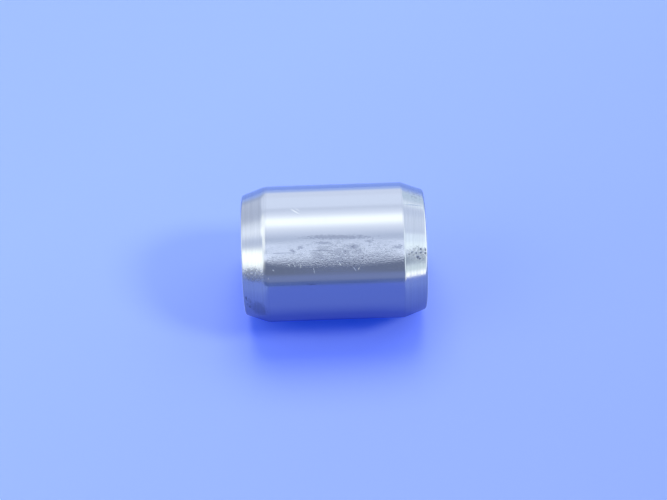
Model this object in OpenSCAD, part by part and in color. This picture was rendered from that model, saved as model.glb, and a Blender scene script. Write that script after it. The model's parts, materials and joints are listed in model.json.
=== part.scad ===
// Solid steel dowel pin: a ground shank with a long lead chamfer on both ends.
// It stands on its lower end, with its axis on Z and the lower end face at Z = 0.

/* [Shank] */
// Diameter of the ground shank
shank_d = 12; // [8:0.5:20]
// Overall length, from end face to end face
pin_l = 16; // [10:0.5:40]

/* [Lead chamfers] */
// Length of each chamfer, measured along the pin
chamfer_l = 2; // [1:0.1:3]
// Slope of the chamfers against the axis, in degrees
chamfer_a = 20; // [10:1:30]
// Radius that softens the shoulder between a chamfer and the shank
shoulder_r = 0.5; // [0.1:0.1:1]

/* [End corners] */
// Radius of the rounded corner at the lower end face
lower_corner_r = 0.2; // [0.1:0.1:0.8]
// Radius of the rounded corner at the upper end face, the more worn of the two
upper_corner_r = 0.3; // [0.1:0.1:0.8]

/* [Hidden] */
$fn = 128;
// Widest turn that one straight step of an arc may take, in degrees
arc_step = 8;
shank_r = shank_d / 2;
// Radius at which a chamfer would meet its end face if the corner were sharp
sharp_r = shank_r - chamfer_l * tan(chamfer_a);
// Distance from the sharp shoulder to where its blend meets the shank and the slope
shoulder_t = shoulder_r * tan(chamfer_a / 2);

// Distance from a sharp end corner to where its rounding meets the face and the slope
function corner_t(corner_r) = corner_r * tan((90 - chamfer_a) / 2);

// Points along an arc, from one angle to another
function arc(centre, r, from, to) =
    let (steps = ceil((to - from) / arc_step))
    [for (i = [0 : steps])
        let (a = from + (to - from) * i / steps)
        centre + r * [cos(a), sin(a)]];

// One end in section, from its face to the shank, as radius and height above the face:
// the rounded corner, then the shoulder, with the straight slope between them
function end_outline(corner_r) = concat(
    arc([sharp_r - corner_t(corner_r), corner_r], corner_r, -90, -chamfer_a),
    arc([shank_r - shoulder_r, chamfer_l + shoulder_t], shoulder_r, -chamfer_a, 0)
);

// An outline turned end for end, so that it belongs to the upper face
function upside_down(outline) = [
    for (i = [len(outline) - 1 : -1 : 0]) [outline[i].x, pin_l - outline[i].y]
];

// The whole pin, turned from bar and then ground on its shank: half of its section,
// from the axis outwards, carried once round the axis
module dowel_pin() {
    color("silver")
        rotate_extrude()
            polygon(concat(
                [[0, 0]],
                end_outline(lower_corner_r),
                upside_down(end_outline(upper_corner_r)),
                [[0, pin_l]]
            ));
}

dowel_pin();
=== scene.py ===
import json
import math

import bpy
import numpy as np
from mathutils import Matrix, Vector


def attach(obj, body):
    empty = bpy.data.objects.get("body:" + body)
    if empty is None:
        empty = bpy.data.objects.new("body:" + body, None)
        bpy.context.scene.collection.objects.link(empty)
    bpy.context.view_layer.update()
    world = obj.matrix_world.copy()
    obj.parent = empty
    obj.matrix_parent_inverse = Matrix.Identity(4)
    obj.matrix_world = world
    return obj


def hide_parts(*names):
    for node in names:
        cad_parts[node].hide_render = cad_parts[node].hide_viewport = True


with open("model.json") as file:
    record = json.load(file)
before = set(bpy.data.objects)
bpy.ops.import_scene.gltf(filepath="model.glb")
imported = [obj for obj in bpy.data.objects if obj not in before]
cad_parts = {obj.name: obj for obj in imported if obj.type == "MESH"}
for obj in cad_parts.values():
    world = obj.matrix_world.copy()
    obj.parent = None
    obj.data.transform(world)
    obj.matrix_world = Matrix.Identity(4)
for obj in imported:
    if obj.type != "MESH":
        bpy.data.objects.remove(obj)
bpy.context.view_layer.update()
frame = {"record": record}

# The pin: one piece of hardened bar, turned to length with a long lead chamfer on both ends, then ground
# on its shank. It is drawn as its own section, carried once round the axis in rings. It stands on its
# crisper end here: the upper end has the more worn corner, and the lower end the rounder shoulder.
# Sizes are in mm, and angles in degrees.
MM = 0.001
mounts = {m["name"]: m for m in frame["record"]["mounts"]}
shank_r = mounts["ground_shank"]["dims"]["r_mm"]
pin_l = mounts["upper_face"]["pos_m"][2] / MM
chamfer_l = 2.0
chamfer_a = 20.0
lower_shoulder_r = 1.6
upper_shoulder_r = 0.5
lower_corner_r = 0.2
upper_corner_r = 0.3
face_steps = 9
corner_steps = 9
chamfer_steps = 24
shoulder_steps = 10
shank_steps = 84
turn_steps = 512


def straight(start, end, tilt, steps):
    """Rings along a straight line of the section, as radius, height and the tilt of the outward normal."""
    return [
        (start[0] + (end[0] - start[0]) * i / steps, start[1] + (end[1] - start[1]) * i / steps, tilt)
        for i in range(1, steps + 1)
    ]


def rounded(centre, radius, tilt_from, tilt_to, steps):
    """Rings round an arc of the section, from one tilt of the outward normal to another."""
    rings = []
    for i in range(1, steps + 1):
        tilt = tilt_from + (tilt_to - tilt_from) * i / steps
        a = math.radians(tilt)
        rings.append((centre[0] + radius * math.cos(a), centre[1] + radius * math.sin(a), tilt))
    return rings


def one_end(corner_r, shoulder_r):
    """The rings of one end, from the middle of its face to where the shank begins."""
    slope = math.radians(chamfer_a)
    sharp_r = shank_r - chamfer_l * math.tan(slope)
    corner_t = corner_r * math.tan(math.radians(90 - chamfer_a) / 2)
    shoulder_t = shoulder_r * math.tan(slope / 2)
    face_edge = (sharp_r - corner_t, 0.0)
    slope_start = (sharp_r + corner_t * math.sin(slope), corner_t * math.cos(slope))
    slope_end = (shank_r - shoulder_t * math.sin(slope), chamfer_l - shoulder_t * math.cos(slope))
    corner_middle = (face_edge[0], corner_r)
    shoulder_middle = (shank_r - shoulder_r, chamfer_l + shoulder_t)
    rings = straight((0.0, 0.0), face_edge, -90.0, face_steps)
    rings += rounded(corner_middle, corner_r, -90.0, -chamfer_a, corner_steps)
    rings += straight(slope_start, slope_end, -chamfer_a, chamfer_steps)
    rings += rounded(shoulder_middle, shoulder_r, -chamfer_a, 0.0, shoulder_steps)
    return rings


lower_end = one_end(lower_corner_r, lower_shoulder_r)
upper_end = [(r, pin_l - z, -tilt) for r, z, tilt in reversed(one_end(upper_corner_r, upper_shoulder_r))]
shank = straight(lower_end[-1][:2], upper_end[0][:2], 0.0, shank_steps)
rings = np.array(lower_end + shank[:-1] + upper_end)
ring_r = rings[:, 0][:, None]
ring_z = rings[:, 1][:, None]
angles = np.radians(np.arange(turn_steps) * 360 / turn_steps)[None, :]
run = np.concatenate([[0.0], np.cumsum(np.hypot(np.diff(rings[:, 0]), np.diff(rings[:, 1])))])


def area(height, angle, along, across, edge):
    """An area of the surface, as 1 inside and 0 outside: its middle as height in mm and angle in degrees,
    its half lengths along and round the pin in mm, and the softness of its edge."""
    up = ring_z - height
    side = ((angles - math.radians(angle) + math.pi) % (2 * math.pi) - math.pi) * shank_r
    far = np.hypot(up / along, side / across)
    inside = np.clip((1 + edge - far) / (2 * edge), 0, 1)
    return inside * inside * (3 - 2 * inside)


# Handling has pressed small dents into it. Each is given by its depth, then as an area.
dents = [
    (0.016, 3.25, -56.0, 0.18, 0.14, 0.95),
    (0.014, 2.65, 4.1, 0.15, 0.12, 0.95),
    (0.016, 6.05, 22.4, 0.2, 0.13, 0.95),
]
depth = sum(deepest * area(*where) for deepest, *where in dents)
tilts = np.radians(rings[:, 2])[:, None]
radii = (ring_r - depth * np.cos(tilts)) * MM
heights = (ring_z - depth * np.sin(tilts)) * MM
points = np.stack([radii * np.cos(angles), radii * np.sin(angles), heights], axis=-1).reshape(-1, 3)
verts = [tuple(p) for p in points] + [(0.0, 0.0, 0.0), (0.0, 0.0, pin_l * MM)]
lower_pole = len(points)
upper_pole = lower_pole + 1
last = lower_pole - turn_steps
# Each end face closes with a fan round its pole, and four-sided faces run between the rings.
faces = []
for i in range(turn_steps):
    j = (i + 1) % turn_steps
    faces.append((lower_pole, j, i))
    faces.append((upper_pole, last + i, last + j))
    for below in range(0, last, turn_steps):
        above = below + turn_steps
        faces.append((below + i, below + j, above + j, above + i))
mesh = bpy.data.meshes.new("ground_pin")
mesh.from_pydata(verts, [], faces)
mesh.polygons.foreach_set("use_smooth", [True] * len(faces))
mesh.update()


def paint(name, mask, lower=0.0, upper=0.0):
    """Keeps a value for each point of the pin, for a material to read."""
    values = np.concatenate([np.broadcast_to(mask, (len(rings), turn_steps)).ravel(), [lower, upper]])
    mesh.attributes.new(name, "FLOAT", "POINT").data.foreach_set("value", values.astype(np.float32))


# Distance along the section, in mm, for the marks of the lathe tool.
paint("section", run[:, None], 0.0, run[-1])
# The end faces, which the tool left coarser than the chamfers: all that is tilted more than this.
face_tilt = 60
paint("faced", (np.abs(rings[:, 2]) > face_tilt).astype(float)[:, None], 1.0, 1.0)
# Where a housing has sat and fretted: a band along one side, worst in its middle. Each part of it is
# given by how bad it is, then as an area.
fretted = [
    (0.5, 8.3, -7.0, 6.3, 1.35, 0.35),
    (1.0, 8.6, -8.0, 2.9, 1.0, 0.4),
    (0.75, 11.6, -7.5, 1.9, 0.95, 0.4),
    (0.6, 5.0, -9.0, 1.1, 0.6, 0.5),
    (0.6, 8.6, -1.0, 6.0, 0.8, 0.5),
]
paint("fretted", np.maximum.reduce([bad * area(*where) for bad, *where in fretted]))
# Where the chamfers have been knocked and rubbed, given in the same way.
scuffed = [
    (1.0, 1.0, 9.5, 1.0, 0.75, 0.5),
    (0.7, 0.45, 41.0, 0.3, 0.9, 0.5),
    (0.8, 15.1, -4.0, 1.0, 0.8, 0.5),
    (0.5, 15.1, -68.0, 0.95, 1.7, 0.8),
]
paint("scuffed", np.maximum.reduce([bad * area(*where) for bad, *where in scuffed]))
pin = bpy.data.objects.new("ground_pin", mesh)
bpy.context.scene.collection.objects.link(pin)


def linear(hex_colour):
    """An sRGB colour as hex, turned into linear light."""
    values = [int(hex_colour[i : i + 2], 16) / 255 for i in (1, 3, 5)]
    return [v / 12.92 if v <= 0.04045 else ((v + 0.055) / 1.055) ** 2.4 for v in values] + [1.0]


def add_node(tree, kind, inputs=(), **settings):
    """A shader node: settings are its own properties, and inputs give each socket a value or a link. A Mix
    node of colours has its share in socket 0, the two colours in 6 and 7, and its result in output 2."""
    made = tree.nodes.new("ShaderNode" + kind)
    for name, value in settings.items():
        setattr(made, name, value)
    for socket, value in dict(inputs).items():
        if isinstance(value, bpy.types.NodeSocket):
            tree.links.new(value, made.inputs[socket])
        else:
            made.inputs[socket].default_value = value
    return made


def new_material(name):
    """An empty node material."""
    material = bpy.data.materials.new(name)
    material.use_nodes = True
    material.node_tree.nodes.clear()
    return material


def places(tree):
    """Where a point of the pin is, in mm: as it stands, and unrolled into its height and the way round."""
    place = add_node(tree, "TexCoord").outputs["Object"]
    place_mm = add_node(tree, "VectorMath", {0: place, "Scale": 1 / MM}, operation="SCALE").outputs[0]
    axes = add_node(tree, "SeparateXYZ", {0: place_mm})
    turn = add_node(tree, "Math", {0: axes.outputs["Y"], 1: axes.outputs["X"]}, operation="ARCTAN2")
    arc = add_node(tree, "Math", {0: turn.outputs[0], 1: shank_r}, operation="MULTIPLY")
    unrolled = add_node(tree, "CombineXYZ", {0: axes.outputs["Z"], 1: arc.outputs[0]}).outputs[0]
    return place_mm, unrolled


def far_from(tree, unrolled, height, angle, along, across, mark_turn=0.0):
    """How far a point is from a mark, as 0 in its middle and 1 at its edge. The mark is given by its height
    in mm, its angle in degrees, its half length and half width in mm, and its turn in degrees."""
    way = add_node(
        tree,
        "Mapping",
        {
            0: unrolled,
            "Location": (height, math.radians(angle) * shank_r, 0),
            "Rotation": (0, 0, math.radians(mark_turn)),
            "Scale": (along, across, 1),
        },
        vector_type="TEXTURE",
    )
    return add_node(tree, "VectorMath", {0: way.outputs[0]}, operation="LENGTH").outputs["Value"]


# Ground steel: hardened, then centreless ground. The wheel leaves fine lines round the shank, so its
# gloss is bright but a little soft, and it mirrors the light in long clean bands.
ground = new_material("centreless_ground_steel")
tree = ground.node_tree
place_mm, unrolled = places(tree)
clean_steel = linear("#C5CAD3")
fretted_steel = linear("#80879A")
# How high or deep the marks are, in mm. A scratch of the half width given here is as deep as that, and
# the depth of the others goes with their width.
line_height = 0.0005
fretting_depth = 0.032
scratch_depth = 0.0105
scratch_half_width = 0.045
# How much a stain and the grit of the fretting darken the steel, and how much that roughens it.
stain_dirt = 0.55
grit_dirt = 0.4
dirt_roughness = 0.16
# Wheel lines are about 0.02 mm apart, too fine for the render, so they are drawn 0.12 mm apart.
line_way = add_node(tree, "Mapping", {0: place_mm, "Scale": (0.12, 0.12, 8)})
lines = add_node(
    tree, "TexNoise", {0: line_way.outputs[0], "Scale": 1, "Detail": 3, "Roughness": 0.6}
).outputs[0]
# Sliding in and out of its hole draws faint streaks along it, about 0.2 mm wide and some mm long.
streak_way = add_node(tree, "Mapping", {0: place_mm, "Scale": (5, 5, 0.22)})
streaks = add_node(
    tree, "TexNoise", {0: streak_way.outputs[0], "Scale": 1, "Detail": 4, "Roughness": 0.6}
).outputs[0]
# Fretting: oxide and tiny pits of 0.1 to 0.2 mm, smeared along the pin into patches of about 0.5 mm.
worn = add_node(tree, "Attribute", attribute_name="fretted").outputs["Fac"]
patch_way = add_node(tree, "Mapping", {0: place_mm, "Scale": (3.0, 3.0, 1.0)})
patches = add_node(
    tree, "TexNoise", {0: patch_way.outputs[0], "Scale": 1, "Detail": 2, "Roughness": 0.5}
).outputs[0]
pit_way = add_node(tree, "Mapping", {0: place_mm, "Scale": (9.5, 9.5, 4.2)})
pits = add_node(
    tree, "TexNoise", {0: pit_way.outputs[0], "Scale": 1, "Detail": 3, "Roughness": 0.65}
).outputs[0]
both = add_node(tree, "Math", {0: patches, 1: 0.8, 2: pits}, operation="MULTIPLY_ADD").outputs[0]
wear_level = add_node(tree, "Math", {0: worn, 1: 0.25, 2: both}, operation="MULTIPLY_ADD").outputs[0]
grit_level = add_node(
    tree,
    "MapRange",
    {"Value": wear_level, "From Min": 1.06, "From Max": 1.24},
    interpolation_type="SMOOTHSTEP",
).outputs[0]
grit = add_node(tree, "Math", {0: grit_level, 1: worn}, operation="MULTIPLY", use_clamp=True).outputs[0]
# Single marks, each as height in mm, angle in degrees, half length and half width in mm, and turn.
scratches = [
    (4.72, -44.5, 0.62, 0.09, 41.0),
    (4.95, -46.5, 0.4, 0.04, 44.0),
    (6.23, 6.7, 0.46, 0.035, 78.0),
    (9.7, 6.5, 0.4, 0.035, 55.0),
    (10.05, 6.2, 0.3, 0.04, 112.0),
    (5.1, 2.5, 0.3, 0.03, 96.0),
    (4.1, 1.2, 0.22, 0.04, 85.0),
    (4.6, 2.2, 0.16, 0.03, 71.0),
    (2.32, 12.0, 0.2, 0.05, 80.0),
    (8.45, 1.4, 0.25, 0.06, 64.0),
    (2.75, 5.2, 0.12, 0.05, 40.0),
]
stains = [
    (8.25, -20.3, 3.4, 0.23, 2.1),
    (3.5, -8.7, 1.3, 0.05, 0.0),
    (5.95, 18.6, 0.4, 0.09, 0.0),
    (7.1, -15.8, 0.95, 0.15, 2.0),
    (4.45, -10.1, 0.32, 0.16, 25.0),
    (5.1, -12.6, 0.36, 0.2, -25.0),
    (6.9, -9.6, 1.3, 0.06, 2.0),
    (9.75, -12.0, 0.45, 0.2, 0.0),
    (11.0, -16.0, 0.4, 0.17, 0.0),
    (13.4, -10.5, 0.55, 0.2, 0.0),
    (8.9, -8.3, 0.17, 0.13, 0.0),
]
scratched = 0.0
for height, angle, along, across, mark_turn in scratches:
    near = add_node(
        tree,
        "MapRange",
        {
            "Value": far_from(tree, unrolled, height, angle, along, across, mark_turn),
            "From Min": 1,
            "From Max": 0,
            "To Max": across / scratch_half_width,
        },
        interpolation_type="SMOOTHSTEP",
    )
    scratched = add_node(tree, "Math", {0: near.outputs[0], 1: scratched}, operation="MAXIMUM").outputs[0]
# The pits make the edges of the stains ragged.
stained = 0.0
for stain in stains:
    far = far_from(tree, unrolled, *stain)
    ragged = add_node(tree, "Math", {0: pits, 1: 2.6, 2: far}, operation="MULTIPLY_ADD").outputs[0]
    near = add_node(
        tree,
        "MapRange",
        {"Value": ragged, "From Min": 2.35, "From Max": 1.75},
        interpolation_type="SMOOTHSTEP",
    )
    stained = add_node(tree, "Math", {0: near.outputs[0], 1: stained}, operation="MAXIMUM").outputs[0]
in_grit = add_node(tree, "Math", {0: grit, 1: grit_dirt}, operation="MULTIPLY").outputs[0]
dirt = add_node(
    tree, "Math", {0: stained, 1: stain_dirt, 2: in_grit}, operation="MULTIPLY_ADD", use_clamp=True
).outputs[0]
colour = add_node(tree, "Mix", {0: dirt, 6: clean_steel, 7: fretted_steel}, data_type="RGBA").outputs[2]
rough_lines = add_node(
    tree, "MapRange", {"Value": lines, "From Min": 0.3, "From Max": 0.7, "To Min": 0.09, "To Max": 0.15}
).outputs[0]
rough_streaks = add_node(
    tree, "MapRange", {"Value": streaks, "From Min": 0.45, "From Max": 0.75, "To Max": 0.07}
).outputs[0]
clean_roughness = add_node(tree, "Math", {0: rough_lines, 1: rough_streaks}, operation="ADD").outputs[0]
roughness = add_node(
    tree, "Math", {0: dirt, 1: dirt_roughness, 2: clean_roughness}, operation="MULTIPLY_ADD"
)
line_bump = add_node(tree, "Bump", {"Strength": 1.0, "Distance": line_height * MM, "Height": lines})
pitted = add_node(tree, "Math", {0: pits, 1: worn}, operation="MULTIPLY").outputs[0]
pit_bump = add_node(
    tree,
    "Bump",
    {
        "Strength": 1.0,
        "Distance": fretting_depth * MM,
        "Height": pitted,
        "Normal": line_bump.outputs[0],
    },
)
scratch_bump = add_node(
    tree,
    "Bump",
    {
        "Strength": 1.0,
        "Distance": scratch_depth * MM,
        "Height": scratched,
        "Normal": pit_bump.outputs[0],
    },
    invert=True,
)
steel = add_node(
    tree,
    "BsdfPrincipled",
    {
        "Base Color": colour,
        "Metallic": 1.0,
        "Roughness": roughness.outputs[0],
        "Normal": scratch_bump.outputs[0],
    },
)
add_node(tree, "OutputMaterial", {"Surface": steel.outputs[0]})

# Turned steel: the chamfers and end faces are as the lathe tool left them, so fine tool lines run round
# them, and knocks have scuffed them in places.
turned = new_material("turned_steel")
tree = turned.node_tree
place_mm, unrolled = places(tree)
dirty_steel = linear("#686F80")
# How high or deep the marks are, in mm.
line_height = 0.002
scuff_depth = 0.02
knock_depth = 0.02
burr_height = 0.025
# How much each kind of mark darkens the steel, and what a scuff and a coarse face add to its roughness.
line_dirt = 0.12
scuff_dirt = 0.5
dirt_and_painted_shade_in_knocks = 0.8
scuff_roughness = 0.15
face_roughness = 0.13
# The tool's feed in mm a turn, which its ridges repeat.
feed = 0.13
section = add_node(tree, "Attribute", attribute_name="section").outputs["Fac"]
feed_angle = add_node(tree, "Math", {0: section, 1: 2 * math.pi / feed}, operation="MULTIPLY").outputs[0]
ridges = add_node(tree, "Math", {0: feed_angle}, operation="SINE").outputs[0]
# With them run uneven lines, about 7 to a mm, which change slowly round the pin.
drift_way = add_node(tree, "Mapping", {0: place_mm, "Scale": (0.15, 0.15, 0.15)})
along_way = add_node(tree, "CombineXYZ", {2: section})
line_place = add_node(
    tree,
    "VectorMath",
    {0: along_way.outputs[0], 1: (0, 0, 7), 2: drift_way.outputs[0]},
    operation="MULTIPLY_ADD",
)
lines = add_node(
    tree, "TexNoise", {0: line_place.outputs[0], "Scale": 1, "Detail": 3, "Roughness": 0.6}
).outputs[0]
tool_marks = add_node(tree, "Math", {0: ridges, 1: 0.12, 2: lines}, operation="MULTIPLY_ADD").outputs[0]
scuffs_in = add_node(tree, "Attribute", attribute_name="scuffed").outputs["Fac"]
scuff_way = add_node(tree, "Mapping", {0: place_mm, "Scale": (5.5, 5.5, 5.5)})
scuff_noise = add_node(
    tree, "TexNoise", {0: scuff_way.outputs[0], "Scale": 1, "Detail": 5, "Roughness": 0.65}
).outputs[0]
# Small pits and knocks with ragged edges, each as height in mm, angle in degrees, half length and half width
# in mm, and how strong it is. The last is a broad dark patch on the lower chamfer, on the side towards the
# sheet: painted shade for the contact shadow that the steel mirrors there.
knocks_and_painted_shade = [
    (15.39, -7.8, 0.09, 0.12, 1.0),
    (15.78, -7.2, 0.08, 0.13, 1.0),
    (15.38, -4.7, 0.1, 0.1, 1.0),
    (15.77, -4.0, 0.09, 0.12, 1.0),
    (15.11, -0.9, 0.16, 0.14, 0.9),
    (15.28, 0.6, 0.12, 0.1, 0.9),
    (14.99, -4.5, 0.08, 0.09, 0.8),
    (14.6, -5.5, 0.1, 0.09, 0.7),
    (14.34, -4.0, 0.08, 0.1, 0.7),
    (0.25, 35.8, 0.07, 0.3, 0.9),
    (0.52, 47.5, 0.11, 0.22, 0.7),
    (1.3, 47.5, 0.75, 1.2, 0.5),
]
knocked_and_painted_shade = 0.0
for height, angle, along, across, strength in knocks_and_painted_shade:
    far = far_from(tree, unrolled, height, angle, along, across)
    ragged = add_node(tree, "Math", {0: scuff_noise, 1: 1.2, 2: far}, operation="MULTIPLY_ADD").outputs[0]
    near = add_node(
        tree,
        "MapRange",
        {"Value": ragged, "From Min": 1.75, "From Max": 1.15, "To Max": strength},
        interpolation_type="SMOOTHSTEP",
    )
    knocked_and_painted_shade = add_node(tree, "Math", {0: near.outputs[0], 1: knocked_and_painted_shade}, operation="MAXIMUM").outputs[0]
# One long burr stands up across the upper chamfer: 2 mm long, a little slanted, 0.14 mm wide.
burr_far = far_from(tree, unrolled, 14.92, -50.1, 1.0, 0.07, -9.9)
burr = add_node(
    tree, "MapRange", {"Value": burr_far, "From Min": 1, "From Max": 0}, interpolation_type="SMOOTHSTEP"
).outputs[0]
scuff_level = add_node(tree, "Math", {0: scuffs_in, 1: 0.3, 2: scuff_noise}, operation="MULTIPLY_ADD")
scuff_edge = add_node(
    tree,
    "MapRange",
    {"Value": scuff_level.outputs[0], "From Min": 0.62, "From Max": 0.8},
    interpolation_type="SMOOTHSTEP",
).outputs[0]
scuff = add_node(
    tree, "Math", {0: scuff_edge, 1: scuffs_in}, operation="MULTIPLY", use_clamp=True
).outputs[0]
# Dirt keeps to the tool marks, the scuffs and most of all the knocks, which also carry the painted shade on
# the lower chamfer.
in_lines = add_node(
    tree, "MapRange", {"Value": tool_marks, "From Min": 0.3, "From Max": 0.7, "To Max": line_dirt}
).outputs[0]
in_scuffs = add_node(
    tree, "Math", {0: scuff, 1: scuff_dirt, 2: in_lines}, operation="MULTIPLY_ADD"
).outputs[0]
dirt = add_node(
    tree, "Math", {0: knocked_and_painted_shade, 1: dirt_and_painted_shade_in_knocks, 2: in_scuffs}, operation="MULTIPLY_ADD", use_clamp=True
).outputs[0]
colour = add_node(tree, "Mix", {0: dirt, 6: clean_steel, 7: dirty_steel}, data_type="RGBA").outputs[2]
rough_lines = add_node(
    tree, "MapRange", {"Value": tool_marks, "From Min": 0.3, "From Max": 0.7, "To Min": 0.11, "To Max": 0.18}
).outputs[0]
chamfer_roughness = add_node(
    tree, "Math", {0: scuff, 1: scuff_roughness, 2: rough_lines}, operation="MULTIPLY_ADD"
).outputs[0]
faced = add_node(tree, "Attribute", attribute_name="faced").outputs["Fac"]
roughness = add_node(
    tree, "Math", {0: faced, 1: face_roughness, 2: chamfer_roughness}, operation="MULTIPLY_ADD"
)
line_bump = add_node(tree, "Bump", {"Strength": 1.0, "Distance": line_height * MM, "Height": tool_marks})
scuffed_skin = add_node(tree, "Math", {0: scuff_noise, 1: scuffs_in}, operation="MULTIPLY").outputs[0]
scuff_bump = add_node(
    tree,
    "Bump",
    {
        "Strength": 1.0,
        "Distance": scuff_depth * MM,
        "Height": scuffed_skin,
        "Normal": line_bump.outputs[0],
    },
)
knock_bump = add_node(
    tree,
    "Bump",
    {
        "Strength": 1.0,
        "Distance": knock_depth * MM,
        "Height": knocked_and_painted_shade,
        "Normal": scuff_bump.outputs[0],
    },
    invert=True,
)
burr_bump = add_node(
    tree,
    "Bump",
    {
        "Strength": 1.0,
        "Distance": burr_height * MM,
        "Height": burr,
        "Normal": knock_bump.outputs[0],
    },
)
steel = add_node(
    tree,
    "BsdfPrincipled",
    {
        "Base Color": colour,
        "Metallic": 1.0,
        "Roughness": roughness.outputs[0],
        "Normal": burr_bump.outputs[0],
    },
)
add_node(tree, "OutputMaterial", {"Surface": steel.outputs[0]})

mesh.materials.append(ground)
mesh.materials.append(turned)
# Ground from shoulder to shoulder, and turned beyond them.
shank_low = lower_end[-1][1] * MM
shank_high = upper_end[0][1] * MM
slack = 1e-6
for face in mesh.polygons:
    face.material_index = 0 if shank_low - slack < face.center.z < shank_high + slack else 1

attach(pin, "root")
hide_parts("dowel_pin")

# The sheet that the pin lies on: pale blue plastic, flat and matt. The pin's own frame stands it on end,
# so the sheet is upright here, and touches the shank along one line. It is three strips, behind the pin,
# under it and in front. Their edges are given in metres in front of that line.
up_way = Vector((1, -1, 0)).normalized()
front_way = Vector((1, 1, 0)).normalized()
axis_way = Vector((0, 0, 1))
middle = Vector((0, 0, pin_l / 2 * MM))
touch = middle - up_way * shank_r * MM
sheet_edges = [-0.058, -0.0118, 0.003, 0.19]
sheet_half = 0.25
sheet_points = [touch + front_way * f + axis_way * a * sheet_half for f in sheet_edges for a in (-1, 1)]
sheet_mesh = bpy.data.meshes.new("blue_sheet")
sheet_mesh.from_pydata([tuple(p) for p in sheet_points], [], [(0, 2, 3, 1), (2, 4, 5, 3), (4, 6, 7, 5)])
sheet_mesh.update()
sheet = bpy.data.objects.new("blue_sheet", sheet_mesh)
bpy.context.scene.collection.objects.link(sheet)


def steel_rays(tree):
    """The kinds of ray, and 1 for those that come straight off the steel, 0 for all the others."""
    rays = add_node(tree, "LightPath")
    before_matt = add_node(
        tree, "Math", {0: rays.outputs["Diffuse Depth"], 1: 0.5}, operation="LESS_THAN"
    ).outputs[0]
    glossy = add_node(
        tree, "Math", {0: rays.outputs["Is Glossy Ray"], 1: before_matt}, operation="MULTIPLY"
    ).outputs[0]
    return rays, glossy


def blue_plastic(name, painted_reflection_tone, painted_reflection_aside, painted_glow_in_steel, shows_in_steel=1.0):
    """The material of one strip of the sheet. It shows a pale colour to the camera, and painted darker tones
    of its own in the steel, or nothing there, and it has a painted glow. It is see-through from behind, for
    views from that side."""
    material = new_material(name)
    tree = material.node_tree
    rays, glossy = steel_rays(tree)
    looked_at = add_node(
        tree, "Math", {0: rays.outputs["Is Camera Ray"], 1: glossy}, operation="MAXIMUM"
    ).outputs[0]
    # The colour is painted darker towards the near right corner of the sheet: a painted falloff of the
    # light.
    far_tone = linear("#A4C2F3")
    painted_falloff_tone = linear("#97B1EB")
    place = add_node(tree, "TexCoord").outputs["Object"]
    corner_way = tuple(front_way * 0.75 + axis_way * 0.66)
    nearness = add_node(
        tree, "VectorMath", {0: place, 1: corner_way}, operation="DOT_PRODUCT"
    ).outputs["Value"]
    painted_falloff = add_node(tree, "MapRange", {"Value": nearness, "From Min": -0.02, "From Max": 0.05}).outputs[0]
    pale_with_painted_falloff = add_node(tree, "Mix", {0: painted_falloff, 6: far_tone, 7: painted_falloff_tone}, data_type="RGBA").outputs[2]
    # In the steel it shows painted tones: a darker one straight before the pin, which is painted shade for
    # the pin's own shadow, and a lighter one to both sides.
    off_middle = add_node(tree, "VectorMath", {0: place, 1: tuple(middle)}, operation="SUBTRACT").outputs[0]
    along = add_node(tree, "SeparateXYZ", {0: off_middle}).outputs["Z"]
    off = add_node(tree, "Math", {0: along}, operation="ABSOLUTE").outputs[0]
    aside = add_node(tree, "MapRange", {"Value": off, "From Min": 0.007, "From Max": 0.022}).outputs[0]
    painted_reflection = add_node(tree, "Mix", {0: aside, 6: painted_reflection_tone, 7: painted_reflection_aside}, data_type="RGBA").outputs[2]
    camera_or_painted_tone = add_node(tree, "Mix", {0: glossy, 6: pale_with_painted_falloff, 7: painted_reflection}, data_type="RGBA").outputs[2]
    matt = add_node(tree, "BsdfDiffuse", {"Color": camera_or_painted_tone}).outputs[0]
    # The sheet is given a deep blue glow of its own, shown to the camera and in the steel but lighting
    # nothing: painted light, which stays deep blue also where the pin shades it.
    painted_glow_to_camera = linear("#002995")
    painted_glow_colour = add_node(
        tree, "Mix", {0: glossy, 6: painted_glow_to_camera, 7: painted_glow_in_steel}, data_type="RGBA"
    ).outputs[2]
    painted_glow_shader = add_node(tree, "Emission", {"Color": painted_glow_colour, "Strength": looked_at}).outputs[0]
    face_on = add_node(tree, "AddShader", {0: matt, 1: painted_glow_shader}).outputs[0]
    clear = add_node(tree, "BsdfTransparent").outputs[0]
    behind = add_node(tree, "NewGeometry").outputs["Backfacing"]
    hidden = add_node(tree, "Math", {0: glossy, 1: 1 - shows_in_steel}, operation="MULTIPLY").outputs[0]
    through = add_node(tree, "Math", {0: behind, 1: hidden}, operation="MAXIMUM").outputs[0]
    both = add_node(tree, "MixShader", {0: through, 1: face_on, 2: clear}).outputs[0]
    add_node(tree, "OutputMaterial", {"Surface": both})
    return material


# The strip under the pin is hidden from the steel, which shows the tent's dark patch there instead.
painted_reflection_behind = linear("#99B5BC")
black = linear("#000000")
# The colours after each name are its painted reflection tones in the steel, straight before the pin and to
# both sides, and then its painted glow in the steel.
sheet_mesh.materials.append(
    blue_plastic("pale_blue_plastic_behind", painted_reflection_behind, painted_reflection_behind, linear("#0030AA"))
)
sheet_mesh.materials.append(
    blue_plastic("pale_blue_plastic_under", black, black, black, shows_in_steel=0.0)
)
sheet_mesh.materials.append(
    blue_plastic("pale_blue_plastic_in_front", linear("#6E8699"), linear("#8EA8AA"), linear("#0019AD"))
)
for i, strip in enumerate(sheet_mesh.polygons):
    strip.material_index = i

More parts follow.
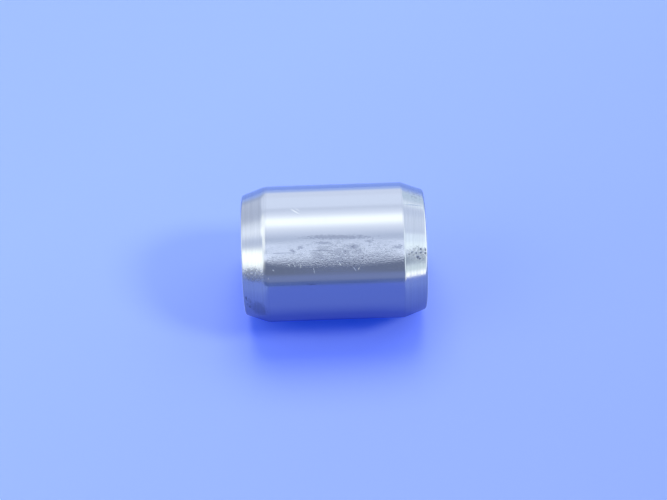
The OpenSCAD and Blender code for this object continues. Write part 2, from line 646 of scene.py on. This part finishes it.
# The studio is a tent of white cloth with lamps behind it, so each lamp is a soft bright patch on the
# cloth, and a dark card stands in front. Each patch is given by the angle above the sheet, counted from
# the front, the angle along the pin's axis, its two half sizes, how crisp its edge is, and its light.
world = bpy.data.worlds.new("tent")
bpy.context.scene.world = world
world.use_nodes = True
tree = world.node_tree
tree.nodes.clear()
towards = add_node(tree, "TexCoord").outputs["Generated"]
ahead = add_node(tree, "VectorMath", {0: towards, 1: front_way}, operation="DOT_PRODUCT").outputs["Value"]
above = add_node(tree, "VectorMath", {0: towards, 1: up_way}, operation="DOT_PRODUCT").outputs["Value"]
beside = add_node(tree, "SeparateXYZ", {0: towards}).outputs["Z"]
lift = add_node(tree, "Math", {0: above, 1: ahead}, operation="ARCTAN2").outputs[0]
lift = add_node(
    tree, "Math", {0: lift, 1: math.radians(270), 2: math.radians(-90)}, operation="WRAP"
).outputs[0]
side = add_node(tree, "Math", {0: beside}, operation="ARCSINE").outputs[0]
at = add_node(tree, "CombineXYZ", {0: lift, 1: side}).outputs[0]
white_cloth = [1.0, 1.08, 1.27, 1]
patches = [
    ("left back wall", 161, -75, 50, 55, 4, (0.71, 0.78, 0.95)),
    ("left far wall", 184, -30, 13, 22, 2, (0.58, 0.67, 0.88)),
    ("right wall", 114, 62, 28, 38, 4, (0.89, 0.99, 1.2)),
    ("right back wall", 169, 60, 14, 45, 3, (0.80, 0.97, 1.13)),
    ("right back lamp", 148, 55, 5, 42, 1, (1.28, 1.43, 1.5)),
    ("back wall", 149, 0, 15, 24, 2, (1.08, 1.17, 1.36)),
    ("seam behind the lamp", 132, 0, 4, 24, 1, (0.92, 1.0, 1.18)),
    ("lamp behind", 108, -4, 11, 30, 0.5, (1.78, 1.84, 1.8)),
    ("gap before it", 77, 0, 8, 60, 0.5, (0.72, 0.81, 1.01)),
    ("cloth round the seam", 57, 0, 13, 24, 2, (1.15, 1.25, 1.47)),
    ("hem of the cloth", 48, 0, 5, 24, 1, (1.3, 1.4, 1.6)),
    ("seam in the cloth", 57, 0, 3.2, 24, 0.5, (0.76, 0.85, 1.03)),
    ("front card", 21, 0, 21, 32, 4, (0.22, 0.26, 0.385)),
    ("foot of the card", 10, 0, 7, 32, 1, (0.27, 0.335, 0.62)),
    ("front left", 5, -60, 13, 38, 2, (0.33, 0.42, 0.72)),
    ("front right", 32.5, 62, 11.5, 36, 2, (0.43, 0.52, 0.64)),
    ("edge of the sheet", 0, 0, 4.8, 33, 2, (0.12, 0.19, 0.52)),
    ("left lamp", 46.5, -62, 17.5, 36, 1, (2.1, 2.15, 1.85)),
    ("right side lamp", 70, 62, 16.5, 38, 4, (1.2, 1.34, 1.47)),
    ("right side lamp's middle", 61, 62, 7, 38, 1, (1.45, 1.6, 1.6)),
    ("right front wall", 11.5, 60, 10, 36, 2, (1.0, 1.15, 1.18)),
    ("right front lamp", 1.5, 60, 6.5, 36, 0.8, (2.1, 2.1, 2.0)),
    ("cloth beside the lamp", 92, -22, 34, 8, 2, (1.6, 1.66, 1.6)),
    ("corner of the lamp", 96, -25, 9, 13, 1, (1.8, 1.85, 1.8)),
    ("cloth on the right", 52, 25, 42, 8, 2, (1.25, 1.38, 1.45)),
    ("far edge of the sheet", 189, 0, 9, 70, 1, (0.5, 0.67, 1.2)),
    ("right end lamp", 90, 90, 200, 41, 2, (1.7, 1.8, 1.75)),
    ("left end lamp", 90, -90, 200, 38, 2, (1.3, 1.4, 1.5)),
    ("sheet's back, in front", -90, 0, 60, 75, 2, (0.5, 0.66, 1.2)),
    ("sheet's back, behind", 270, 0, 60, 75, 2, (0.5, 0.66, 1.2)),
]
tent = white_cloth
for name, patch_lift, patch_side, half_lift, half_side, crisp, radiance in patches:
    way = add_node(
        tree,
        "Mapping",
        {
            0: at,
            "Location": (math.radians(patch_lift), math.radians(patch_side), 0),
            "Scale": (math.radians(half_lift), math.radians(half_side), 1),
        },
        vector_type="TEXTURE",
        label=name,
    ).outputs[0]
    square = add_node(tree, "VectorMath", {0: way, 1: way}, operation="MULTIPLY").outputs[0]
    far = add_node(tree, "VectorMath", {0: square, 1: square}, operation="DOT_PRODUCT").outputs["Value"]
    reach = add_node(tree, "Math", {0: far, 1: crisp}, operation="POWER").outputs[0]
    falling = add_node(tree, "Math", {0: reach, 1: -1}, operation="MULTIPLY").outputs[0]
    share = add_node(tree, "Math", {0: falling}, operation="EXPONENT").outputs[0]
    tent = add_node(tree, "Mix", {0: share, 6: tent, 7: [*radiance, 1]}, data_type="RGBA").outputs[2]
# What the cloth throws on the sheet is even and bluish. The dark front gives only a little deep blue, and
# less reaches the sheet by way of the steel, so that the shadow before the pin stays deep.
front_light = [0, 0.03, 0.5, 1]
cloth_light = [0.31, 0.44, 1.1, 1]
light_by_steel = [0.08, 0.12, 0.5, 1]
above_front = add_node(
    tree,
    "MapRange",
    {"Value": lift, "From Min": math.radians(58), "From Max": math.radians(92)},
    interpolation_type="SMOOTHSTEP",
).outputs[0]
straight_on_sheet = add_node(
    tree, "Mix", {0: above_front, 6: front_light, 7: cloth_light}, data_type="RGBA"
).outputs[2]
rays, glossy = steel_rays(tree)
on_sheet = add_node(
    tree,
    "Mix",
    {0: rays.outputs["Is Glossy Ray"], 6: straight_on_sheet, 7: light_by_steel},
    data_type="RGBA",
).outputs[2]
light = add_node(tree, "Mix", {0: glossy, 6: on_sheet, 7: tent}, data_type="RGBA").outputs[2]
# Past the edges of the sheet the camera sees only a plain pale blue.
backdrop = linear("#A2BFFE")
shown = add_node(
    tree, "Mix", {0: rays.outputs["Is Camera Ray"], 6: light, 7: backdrop}, data_type="RGBA"
).outputs[2]
lit = add_node(tree, "Background", {"Color": shown, "Strength": 1.0}).outputs[0]
add_node(tree, "OutputWorld", {"Surface": lit})

# The lamps also throw the pin's shadow on the sheet. The steel shows them already, as bright cloth, so it
# doesn't see them a second time. Each is given by its two angles, its width in degrees and its light.
lamps = [
    ("lamp_behind", 114, 0, 36, (1.58, 1.28, 0.8)),
    ("lamp_behind_to_the_right", 114, 34, 26, (0.2, 0.17, 0.3)),
    ("lamp_to_the_right", 74, 43, 14, (0.93, 0.82, 0.8)),
    ("lamp_to_the_left", 70, -50, 40, (0.4, 0.35, 0.35)),
]
for name, lamp_lift, lamp_side, width, level in lamps:
    lamp_light = bpy.data.lights.new(name, "SUN")
    lamp_light.color = level
    lamp_light.energy = 1.0
    lamp_light.angle = math.radians(width)
    lamp = bpy.data.objects.new(name, lamp_light)
    bpy.context.scene.collection.objects.link(lamp)
    lift_a, side_a = math.radians(lamp_lift), math.radians(lamp_side)
    towards_lamp = (front_way * math.cos(lift_a) + up_way * math.sin(lift_a)) * math.cos(side_a)
    towards_lamp += axis_way * math.sin(side_a)
    lamp.rotation_euler = towards_lamp.to_track_quat("Z", "Y").to_euler()
    lamp.visible_glossy = False

# The camera: a long lens that looks down at the pin from the front, rolled a little, so that the pin
# lies across the picture with its worn end to the right.
camera_lift = math.radians(53.0)
camera_distance = 0.15
picture_w, picture_h = 667, 500
focal_px = 1691.0
roll = math.radians(2.0)
aim_px = (334.3, 252.0)
lens = bpy.data.cameras.new("camera")
lens.sensor_width = 36.0
lens.lens = focal_px * lens.sensor_width / picture_w
lens.clip_start = 0.01
camera = bpy.data.objects.new("camera", lens)
bpy.context.scene.collection.objects.link(camera)
back = front_way * math.cos(camera_lift) + up_way * math.sin(camera_lift)
stand = Matrix((axis_way, back.cross(axis_way), back)).transposed().to_4x4()
step_x = -(aim_px[0] - picture_w / 2) / focal_px * camera_distance
step_y = (aim_px[1] - picture_h / 2) / focal_px * camera_distance
camera.matrix_world = (
    Matrix.Translation(middle + back * camera_distance)
    @ stand
    @ Matrix.Rotation(-roll, 4, "Z")
    @ Matrix.Translation((step_x, step_y, 0))
)
bpy.context.scene.camera = camera
bpy.context.scene.view_settings.view_transform = "Standard"
